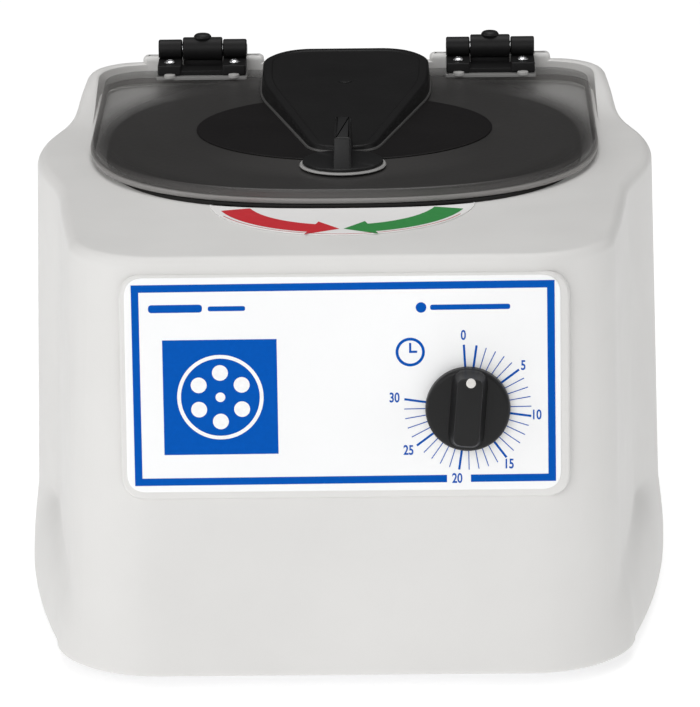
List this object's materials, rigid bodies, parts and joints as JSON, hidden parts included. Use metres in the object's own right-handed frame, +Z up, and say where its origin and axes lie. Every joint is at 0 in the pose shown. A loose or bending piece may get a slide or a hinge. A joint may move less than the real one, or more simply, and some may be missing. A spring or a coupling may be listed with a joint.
{
  "type": "laboratory centrifuge",
  "caption": "Bench laboratory centrifuge with a moulded housing, a hinged smoked lid with a turn latch, a fixed-angle rotor and a wind-up timer.",
  "frame": {"origin": "middle of the bounding box, on the bench under the feet", "axes": "+X to the right as seen from the front, +Y to the rear, +Z up; the control panel faces -Y"},
  "size_m": [0.3104, 0.3794, 0.2293],
  "materials": {
    "housing_white": "fine moulded texture, satin",
    "label_film": "printed polyester film",
    "smoked_plastic": "smoked, slightly frosted",
    "black_plastic": "moulded, satin",
    "grey_plastic": "satin",
    "rubber": "matt",
    "steel": "brushed",
    "plate": "satin sheet",
    "motor_metal": "satin",
    "sleeve_metal": "anodised",
    "rotor_plastic": "satin"
  },
  "bodies": {
    "base": {"base_plate": "plate", "chamber_bowl": "grey_plastic", "control_label": "label_film", "deck_label": "label_film", "foot_back_left": "rubber", "foot_back_right": "rubber", "foot_front_left": "rubber", "foot_front_right": "rubber", "friction_screw_left": "black_plastic", "friction_screw_right": "black_plastic", "hinge_body_leaf_left": "black_plastic", "hinge_body_leaf_right": "black_plastic", "hinge_pin_left": "steel", "hinge_pin_right": "steel", "housing": "housing_white", "isolator_1": "rubber", "isolator_2": "rubber", "isolator_3": "rubber", "latch_strike": "steel", "lid_seal": "rubber", "motor": "motor_metal", "motor_mount_plate": "plate", "power_inlet": "black_plastic", "timer_body": "motor_metal", "timer_nut": "steel"},
    "lid_group": {"lid": "smoked_plastic", "lid_disc": "black_plastic", "lid_cover": "black_plastic", "latch_flange": "grey_plastic", "hinge_lid_leaf_left": "black_plastic", "hinge_lid_leaf_right": "black_plastic", "hinge_pad_left": "grey_plastic", "hinge_pad_right": "grey_plastic", "leaf_screw_left_inner": "steel", "leaf_screw_left_outer": "steel", "leaf_screw_right_inner": "steel", "leaf_screw_right_outer": "steel"},
    "latch_group": {"latch_knob": "black_plastic", "latch_shaft": "steel", "latch_tongue": "steel"},
    "rotor_group": {"rotor": "rotor_plastic", "rotor_nut": "black_plastic", "motor_shaft": "steel", "tube_sleeve_1": "sleeve_metal", "tube_sleeve_2": "sleeve_metal", "tube_sleeve_3": "sleeve_metal", "tube_sleeve_4": "sleeve_metal", "tube_sleeve_5": "sleeve_metal", "tube_sleeve_6": "sleeve_metal"},
    "timer_group": {"timer_knob": "black_plastic", "timer_shaft": "steel"},
    "fuse_drawer_group": {"fuse_drawer": "grey_plastic"}
  },
  "joints": [
    {"name": "lid_hinge", "type": "hinge", "parent": "base", "child": "lid_group", "pos_m": [0, 0.1727, 0.22], "axis": [-1, 0, 0], "range_deg": [0, 95]},
    {"name": "latch_turn", "type": "hinge", "parent": "lid_group", "child": "latch_group", "pos_m": [0, -0.0313, 0.2085], "axis": [0, 0, 1], "range_deg": [-90, 0]},
    {"name": "rotor_spin", "type": "hinge", "parent": "base", "child": "rotor_group", "pos_m": [0, 0.0397, 0.15], "axis": [0, 0, 1], "continuous": true},
    {"name": "timer_turn", "type": "hinge", "parent": "base", "child": "timer_group", "pos_m": [0.0567, -0.16833, 0.131], "axis": [0, 0.9968, -0.0795], "range_deg": [0, 275]},
    {"name": "fuse_drawer_slide", "type": "slide", "parent": "base", "child": "fuse_drawer_group", "axis": [0, 1, 0], "range_m": [0, 0.016]}
  ]
}
